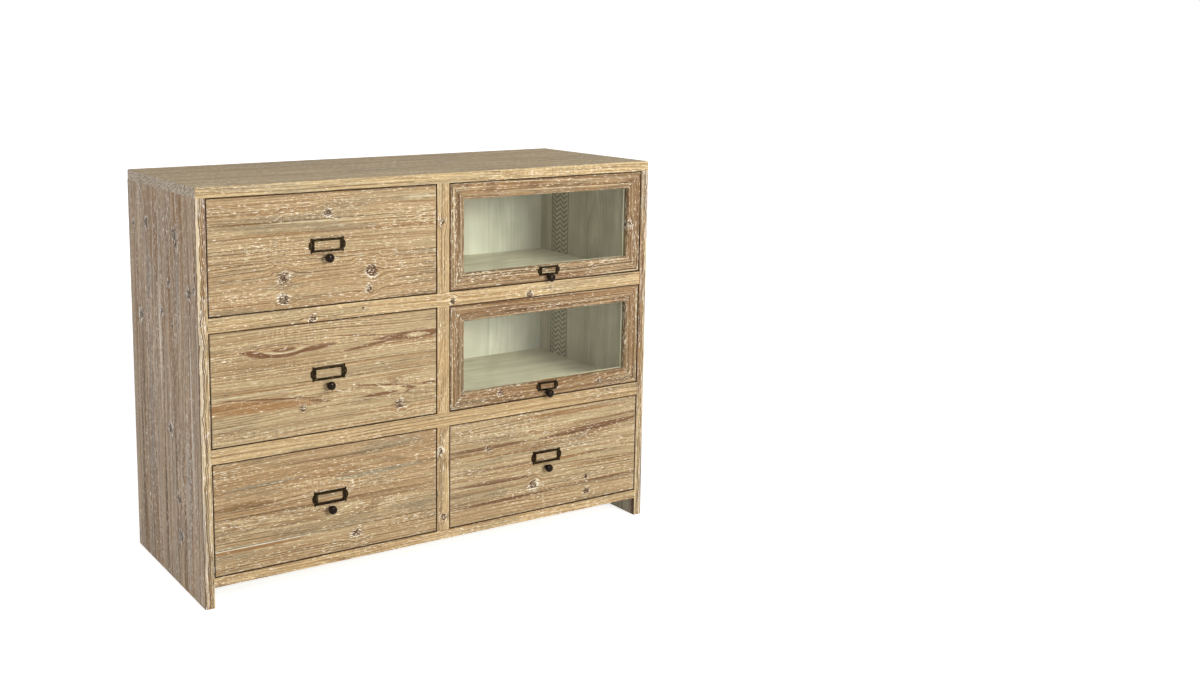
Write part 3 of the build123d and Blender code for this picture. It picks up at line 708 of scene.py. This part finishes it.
# Where each piece's boards, seams and knots lie, in mm. Knots are (along, across, radius), bands are
# (across, half width), strokes are (along, across, half length, half width, tone, tilt, bend).
drawerLooks = {
    "upper_drawer": {
        "seed": 3, "seams": (692, 772), "lime": 0.5, "grey": 0.5, "hair": 0.85, "bands": [(742, 2)],
        "knots": [(-269, 783, 8), (-368, 658, 12), (-369, 616, 10), (-172, 656, 12), (-177, 619, 7)],
        "strokes": [
            (-430, 771, 90, 2.0, "late", 0.01), (-90, 745, 100, 2.2, "late", 0.03),
            (-300, 768, 120, 1.4, "pale", -0.01), (-470, 640, 60, 1.6, "late"),
            (-200, 700, 140, 1.6, "late", 0.01), (-60, 805, 40, 4.5, "pale"),
            (-395, 640, 26, 1.0, "pale", 0.7), (-400, 632, 26, 0.9, "pale", 0.5)]},
    "middle_drawer": {
        "seed": 11, "seams": (440,), "lime": 0.3, "grey": 0.2, "hair": 0.7,
        "knots": [(-107, 363, 9), (-332, 385, 6)],
        "strokes": [
            (-373, 501, 90, 3.6, "figure", 0.0, 0.0021), (-430, 508.5, 36, 6.5, "figure", -0.22),
            (-298, 509.5, 50, 5.6, "figure", 0.09), (-381, 524, 76, 1.3, "figure", 0.0, -0.0018),
            (-373, 506, 48, 1.6, "pale", 0.0, 0.0034), (-372, 513, 30, 4.2, "figure"),
            (-194, 523, 66, 1.8, "figure", -0.1), (-70, 511, 100, 9.5, "figure"),
            (-66, 510.5, 30, 4.6, "early"), (-180, 500, 68, 3.0, "figure", 0.11),
            (-100, 499, 110, 1.2, "streak", 0.03), (-80, 492, 120, 1.0, "pale", 0.02),
            (-430, 427, 160, 1.2, "pale", -0.02), (-400, 434, 150, 1.6, "streak", -0.01),
            (-450, 403, 150, 12, "streak", -0.05), (-400, 414, 130, 2.0, "figure", -0.09),
            (-294, 397, 28, 3.4, "figure", -0.16), (-110, 402, 44, 8.0, "early"),
            (-146, 411, 84, 2.4, "figure", -0.11), (-86, 399, 20, 3.2, "figure", -0.14),
            (-82, 393.5, 15, 2.6, "figure", 0.45), (-148, 407, 18, 1.6, "pale", -0.5),
            (-153, 392, 48, 3.8, "figure", 0.03), (-36, 402, 26, 3.0, "figure", 0.03)]},
    "lower_left_drawer": {
        "seed": 23, "seams": (116.7, 179.5), "lime": 0.52, "grey": 0.7, "hair": 0.8, "level": 0.95,
        "knots": [(-212, 98, 9)],
        "strokes": [
            (-270, 177, 260, 3.0, "late"), (-440, 111, 130, 3.4, "streak"),
            (-420, 240, 110, 3.0, "grey", 0.02), (-150, 225, 130, 5, "grey", 0.03),
            (-460, 200, 80, 9.0, "late"), (-440, 115.5, 150, 1.2, "lime"),
            (-270, 150, 60, 0.9, "pale", 0.35), (-255, 148, 60, 0.9, "pale", 0.3),
            (-240, 158, 50, 0.9, "pale", 0.28), (-285, 140, 60, 1.0, "late", -0.25),
            (-120, 100, 130, 1.6, "late"), (-400, 92, 130, 1.8, "late", 0.01)]},
    "lower_right_drawer": {
        "seed": 31, "seams": (106,), "lime": 0.48, "grey": 0.45, "hair": 0.85, "level": 0.94,
        "knots": [(118, 230, 7), (236, 127, 10), (388, 87, 9), (386, 120, 6)],
        "strokes": [
            (330, 284, 190, 5.0, "streak", -0.01), (120, 232, 120, 4.2, "figure"),
            (400, 238, 170, 6.5, "figure", 0.05), (250, 211, 250, 2.4, "streak", 0.01),
            (160, 181, 140, 2.0, "figure"), (300, 176, 180, 3.0, "streak", 0.02),
            (140, 150, 120, 5.0, "figure", -0.02), (400, 152, 120, 2.0, "streak"),
            (160, 104, 150, 3.6, "figure", 0.01), (440, 110, 90, 2.0, "figure"),
            (260, 262, 200, 1.2, "pale"), (330, 198, 160, 1.2, "pale")]},
}

for drawerName, look in drawerLooks.items():
    nodeName = drawerName + "_front"
    look = dict(look, grain="XZY", pith=span(nodeName, 2), face=span(nodeName, 1)[0], gap="sides",
                dirt=frontGapDirtAndShade, edges={"x": span(nodeName, 0), "z": span(nodeName, 2)})
    dress(nodeName, limedPine("limedPine_" + drawerName, look))

doorLooks = {
    "upper_door": {"seed": 41, "knots": {"stiles": [(706, 499, 8)]}},
    "middle_door": {"seed": 53, "knots": {"bottom_rail": [(146, 352, 7), (419, 348, 6)]}},
}
# the width of a flap's rails and stiles on its face, in mm
memberWidth = 35.5

for doorName, look in doorLooks.items():
    outline = {
        "x": span(doorName + "_top_rail", 0),
        "z": span(doorName + "_stiles", 2),
        "memberWidth": memberWidth,
    }
    for step, member in enumerate(("top_rail", "bottom_rail", "stiles")):
        nodeName = f"{doorName}_{member}"
        upright = member == "stiles"
        memberLook = {
            "seed": look["seed"] + 3 * step, "grain": "ZXY" if upright else "XZY", "palette": doorPine,
            "ringPitch": 4.0, "hair": 1.0, "paleHair": 0.95, "level": 0.87 if upright else 1.0,
            "knots": look["knots"].get(member, []), "knotShare": 0.1, "face": span(nodeName, 1)[0],
            "pith": span(nodeName, 0 if upright else 2),
            "seams": (sum(outline["x"]) / 2,) if upright else (),
            "edges": outline, "gap": "sides", "dirt": frontGapDirtAndShade,
        }
        dress(nodeName, limedPine(f"limedPine_{nodeName}", memberLook))

frameLooks = {
    "bottom_rail": {"seed": 61, "grain": "XZY"},
    "cross_rails": {"seed": 67, "grain": "XZY", "seams": (450,), "knots": [(-308, 568, 8), (222, 568, 8)]},
    "centre_stiles": {"seed": 71, "grain": "ZXY", "knots": [(746, -3, 7), (94, 2, 8), (245, -7, 6)]},
}
for nodeName, look in frameLooks.items():
    acrossAxis = 0 if look["grain"] == "ZXY" else 2
    look = dict(look, palette=creamPine, face=span(nodeName, 1)[0], pith=span(nodeName, acrossAxis),
                knotShare=0.05, gap="sides", hair=0.85, paleHair=0.55)
    dress(nodeName, limedPine("limedPine_" + nodeName, look))

sideKnots = [
    (747, 97, 11), (745, -74, 13), (722, -84, 8), (638, -30, 7), (635, -153, 10), (543, 152, 12),
    (571, 14, 9), (330, -20, 10), (190, -60, 9), (110, -66, 12)]
leftStrokes = [
    (600, 186, 190, 7, "streak", 0.01), (420, 145, 260, 4, "late", -0.01), (300, 60, 220, 5, "grey"),
    (640, -38, 150, 6, "streak", 0.01), (460, -44, 160, 7, "streak"), (520, -60, 200, 2, "late"),
    (700, -118, 130, 5, "streak"), (620, -80, 120, 6, "grey"), (200, 165, 220, 6, "late"),
    (260, -48, 240, 4, "late"), (420, -196, 400, 2.5, "late"), (330, 100, 200, 9, "grey"),
    (180, -120, 180, 8, "grey"), (150, 20, 150, 6, "late"), (560, 100, 160, 5, "grey"),
    (720, 40, 110, 9, "streak"), (90, 110, 110, 5, "late"), (500, 30, 180, 4, "pale"),
    (380, -150, 200, 5, "pale")]
paintStart = gapFront + 20
panelLooks = {
    "left_side_panel": {
        "seed": 83, "grain": "ZYX", "palette": weatheredPine, "frontPalette": creamPine, "lime": 0.62,
        "grey": 0.55, "hair": 1.0, "paleHair": 0.8, "face": -550, "pith": (-200, 220),
        "seams": (-52.5, 14.5, 125.5, 171.5), "seamWidth": 1.2, "knots": sideKnots, "knotShare": 0.35,
        "streakSize": (600, 17), "streak": 0.95, "strokes": leftStrokes, "strokeShare": 0.8,
        "corner": -550, "gap": ("X", 1), "paint": {"faces": ("X", 1), "behind": paintStart}},
    "right_side_panel": {
        "seed": 97, "grain": "ZYX", "palette": weatheredPine, "frontPalette": creamPine, "lime": 0.5,
        "grey": 0.55, "hair": 0.9, "face": 530, "pith": (-200, 220), "seams": (-155, 86.5, 154.5),
        "seamWidth": 2.2, "knotShare": 0.3, "streakSize": (420, 17), "streak": 0.85, "corner": 550,
        "gap": ("X", -1), "paint": {
            "faces": ("X", -1), "behind": paintStart, "colours": shadedWallPaint,
            "sawMarks": {"middle": 120.5, "halfWidth": 30, "lane": 15, "pitch": 12, "slope": 0.7}}},
    "top_board": {
        "seed": 101, "grain": "XYZ", "palette": topPine, "frontPalette": creamPine, "lime": 0.45,
        "grey": 0.5, "face": 850, "pith": (-200, 220), "seams": (-66, 84), "seamWidth": 1.6,
        "knotShare": 0.25, "bands": [(-120, 3), (150, 4)], "gap": ("Z", -1),
        "paint": {"faces": ("Z", -1), "behind": paintStart}},
    "back_panel": {
        "seed": 113, "grain": "ZXY", "palette": weatheredPine, "lime": 0.2, "grey": 0.5, "face": 203,
        "pith": (-500, 500), "seams": (-350, -170, 20, 190, 370), "knotShare": 0.25,
        "paint": {"faces": ("Y", -1), "colours": backPaint}},
}
for nodeName, look in panelLooks.items():
    dress(nodeName, limedPine("limedPine_" + nodeName.rsplit("_", 1)[0], look))
print("limed pine done")

paintedLooks = {
    "base_board": {"seed": 127, "grain": "XYZ", "pith": (-180, 200), "seams": (0,), "paint": {"worn": 0.2}},
    "shelves": {"seed": 131, "grain": "XYZ", "pith": (-180, 200), "seams": (-40, 90)},
    "centre_partition": {
        "seed": 137, "grain": "ZYX", "pith": (-180, 200), "seams": (-30, 110), "paint": {"worn": 0.1}},
    "door_stops": {"seed": 139, "grain": "ZXY", "pith": (0, 500)},
    "middle_door_beads": {"seed": 149, "grain": "XZY", "pith": (300, 600)},
    "upper_door_beads": {"seed": 151, "grain": "XZY", "pith": (600, 800)},
}
for nodeName, look in paintedLooks.items():
    dress(nodeName, paintedPine("chalkPaint_" + nodeName, look))
print("chalk paint done")


# Drawer boxes, runners and dowels

plainPine = {
    "early": "#e6cfa2", "late": "#c79c62", "dirt": "#8a6a44", "knot": "#7a5230",
    "ringShare": 0.6, "fibreTone": (-0.08, 0.12), "dirtPatches": (0.5, 0.75, 0, 0.3),
    "knotHeart": (0.9, 1.15, 0.85, 0), "fibreHeight": 0.12, "roughness": (0.6, 0.48),
}
plywood = {
    "pale": "#e3d0ab", "dark": "#c9ad80", "glue": "#8c6b42", "plyPitch": 1.2, "ringPitch": 9,
    "ringShare": 0.22, "fibreTone": (0, 0.45), "glueMix": 0.6, "fibreHeight": 0.1,
    "roughness": (0.62, 0.5),
}


def planedPine(name, look):
    # Newer pine, planed and left bare: pale yellow, crisp orange rings, a faint satin.
    material, tree = newMaterial(name)
    grain = sawnBoard(tree, look)
    fibreTone = addNode(tree, "MapRange", (grain["fibre"], 0.35, 0.65, *plainPine["fibreTone"]))
    tone = (grain["rings"], plainPine["ringShare"], fibreTone)
    tone = addNode(tree, "Math", tone, "MULTIPLY_ADD", use_clamp=True)
    colour = addNode(tree, "MixRGB", (tone, plainPine["early"], plainPine["late"]))
    colour = overlaid(tree, colour, grain["patch"], plainPine["dirtPatches"], plainPine["dirt"])
    colour = overlaid(tree, colour, grain["nearest"], plainPine["knotHeart"], plainPine["knot"])
    roughness = addNode(tree, "MapRange", (tone, 0, 1, *plainPine["roughness"]))
    bump = carved(tree, [(grain["fibre"], plainPine["fibreHeight"])], 0.5)
    shader = addNode(tree, "BsdfPrincipled", {"Base Color": colour, "Roughness": roughness, "Normal": bump})
    addNode(tree, "OutputMaterial", (shader,))
    return material


def birchPlywood(name, seed):
    # Thin sanded plywood: creamy and even on its faces, thin brown glue lines on its edges.
    material, tree = newMaterial(name)
    grain = sawnBoard(tree, {
        "seed": seed, "grain": "XYZ", "pith": (-400, 400), "ringPitch": plywood["ringPitch"]})
    fibreTone = addNode(tree, "MapRange", (grain["fibre"], 0.35, 0.65, *plywood["fibreTone"]))
    tone = (grain["rings"], plywood["ringShare"], fibreTone)
    tone = addNode(tree, "Math", tone, "MULTIPLY_ADD", use_clamp=True)
    colour = addNode(tree, "MixRGB", (tone, plywood["pale"], plywood["dark"]))
    plies = addNode(tree, "Math", (grain["axes"]["Z"], plywood["plyPitch"]), "DIVIDE")
    plies = addNode(tree, "Math", (plies, 1), "PINGPONG")
    plies = addNode(tree, "MapRange", (plies, 0.8, 0.95, 0, plywood["glueMix"]))
    flat = addNode(tree, "Math", (grain["facing"]["Z"],), "ABSOLUTE")
    edge = addNode(tree, "Math", (flat, 0.5), "LESS_THAN")
    plies = addNode(tree, "Math", (plies, edge), "MULTIPLY")
    colour = addNode(tree, "MixRGB", (plies, colour, plywood["glue"]))
    roughness = addNode(tree, "MapRange", (tone, 0, 1, *plywood["roughness"]))
    bump = carved(tree, [(grain["fibre"], plywood["fibreHeight"])], 0.6)
    shader = addNode(tree, "BsdfPrincipled", {"Base Color": colour, "Roughness": roughness, "Normal": bump})
    addNode(tree, "OutputMaterial", (shader,))
    return material


for step, drawerName in enumerate(drawerLooks):
    middleX = sum(span(drawerName + "_sides", 0)) / 2
    low, high = span(drawerName + "_sides", 2)
    dress(drawerName + "_sides", planedPine(f"planedPine_{drawerName}_sides", {
        "seed": 163 + step, "grain": "YZX", "pith": (low, high), "face": middleX, "knotShare": 0.15}))
    dress(drawerName + "_back", planedPine(f"planedPine_{drawerName}_back", {
        "seed": 173 + step, "grain": "XZY", "pith": (low, high), "face": 150, "knotShare": 0.15}))
    dress(drawerName + "_bottom", birchPlywood(f"birchPlywood_{drawerName}", 181 + step))

plainLooks = {
    "drawer_runners": {"seed": 191, "grain": "YXZ", "pith": (-500, 500), "knotShare": 0.1},
    "drawer_stops": {"seed": 193, "grain": "XZY", "pith": (50, 800)},
    "top_dowels": {"seed": 197, "grain": "ZXY", "pith": (-500, 500), "ringPitch": 1.4},
}
for nodeName, look in plainLooks.items():
    dress(nodeName, planedPine("planedPine_" + nodeName.split("_")[1], look))
print("drawer boxes done")


# Hardware

# sizes of blotches and grit in mm; fixings are the small screws and pins behind knobs and holders
brassSizes = {"blotch": 5.0, "grit": 0.6, "rubbed": (0.5, 0.72, 0, 0.7)}
brassLooks = {
    "card_holder": {"seed": 0, "dark": "#211a11", "worn": "#51432a", "roughness": (0.4, 0.24), "lacquer": 0},
    "fixings": {"seed": 40, "dark": "#30261b", "worn": "#6b5638", "roughness": (0.4, 0.24), "lacquer": 0},
    "knob": {"seed": 80, "dark": "#170f09", "worn": "#2e2016", "roughness": (0.2, 0.12), "lacquer": 0.15},
}
zincShades = ("#8f9294", "#b9bbbb")
pane = {"tints": ("#f8faf6", "#eff2ec"), "shadowTint": "#f0f3ec", "index": 1.22}


def bronzedBrass(name, seed, look):
    # Brass with a brown-black patina: dark, rubbed to brown metal in spots. The turned knobs have
    # a thin clear lacquer, which gives them a small bright highlight.
    material, tree = newMaterial(name)
    place = addNode(tree, "TexCoord").outputs["Object"]
    place = addNode(tree, "VectorMath", (place, (millimetres,) * 3), "MULTIPLY")
    blotches = addNode(tree, "TexNoise", {
        "Vector": place, "W": seed, "Scale": 1 / brassSizes["blotch"], "Detail": 3}, noise_dimensions="4D")
    grit = addNode(tree, "TexNoise", {"Vector": place, "Scale": 1 / brassSizes["grit"], "Detail": 2})
    colour = overlaid(tree, look["dark"], blotches, brassSizes["rubbed"], look["worn"])
    roughness = addNode(tree, "MapRange", (blotches, 0.3, 0.7, *look["roughness"]))
    shader = addNode(tree, "BsdfPrincipled", {
        "Base Color": colour, "Metallic": 1.0, "Roughness": roughness,
        "Normal": carved(tree, [(grit, 0.1)], 0.5), "Coat Weight": look["lacquer"], "Coat Roughness": 0.1})
    addNode(tree, "OutputMaterial", (shader,))
    return material


def zincSteel(name):
    # Zinc-plated steel screws and pins: cool grey, dull, faintly clouded.
    material, tree = newMaterial(name)
    place = addNode(tree, "TexCoord").outputs["Object"]
    cloudSize = 0.003
    clouds = addNode(tree, "TexNoise", {"Vector": place, "Scale": 1 / cloudSize, "Detail": 3})
    colour = addNode(tree, "ValToRGB", (clouds,), stops=list(zip((0.35, 0.65), zincShades)))
    roughness = addNode(tree, "MapRange", (clouds, 0.35, 0.65, 0.5, 0.32))
    shader = addNode(tree, "BsdfPrincipled", {"Base Color": colour, "Metallic": 1.0, "Roughness": roughness})
    addNode(tree, "OutputMaterial", (shader,))
    return material


for step, cellName in enumerate([*drawerLooks, *doorLooks]):
    for ending, look in brassLooks.items():
        materialName = f"bronzedBrass_{cellName}_{ending.split('_')[-1]}"
        dress(f"{cellName}_{ending}", bronzedBrass(materialName, look["seed"] + step, look))
for nodeName in ("back_screws", "pivot_pins"):
    dress(nodeName, zincSteel("zincSteel_" + nodeName))


def oldWindowGlass(name):
    # Float glass, three millimetres: clear, barely green, with faint clouds of dust in its tint.
    # Its IOR is under the usual 1.5, because the photographed panes hardly mirror the white studio.
    material, tree = newMaterial(name)
    place = addNode(tree, "TexCoord").outputs["Object"]
    smearSize = 0.05
    smears = addNode(tree, "TexNoise", {"Vector": place, "Scale": 1 / smearSize, "Detail": 3})
    tint = addNode(tree, "ValToRGB", (smears,), stops=list(zip((0.4, 0.7), pane["tints"])))
    glass = addNode(tree, "BsdfPrincipled", {
        "Base Color": tint, "Roughness": 0.0, "IOR": pane["index"], "Transmission Weight": 1.0})
    # lamps shine through the pane, as they do through real glass
    clear = addNode(tree, "BsdfTransparent", {"Color": pane["shadowTint"]})
    rays = addNode(tree, "LightPath")
    mixed = addNode(tree, "MixShader", (rays.outputs["Is Shadow Ray"], glass, clear))
    addNode(tree, "OutputMaterial", (mixed,))
    return material


for doorName in doorLooks:
    dress(doorName + "_glass", oldWindowGlass("windowGlass_" + doorName))
print("hardware and glass done")
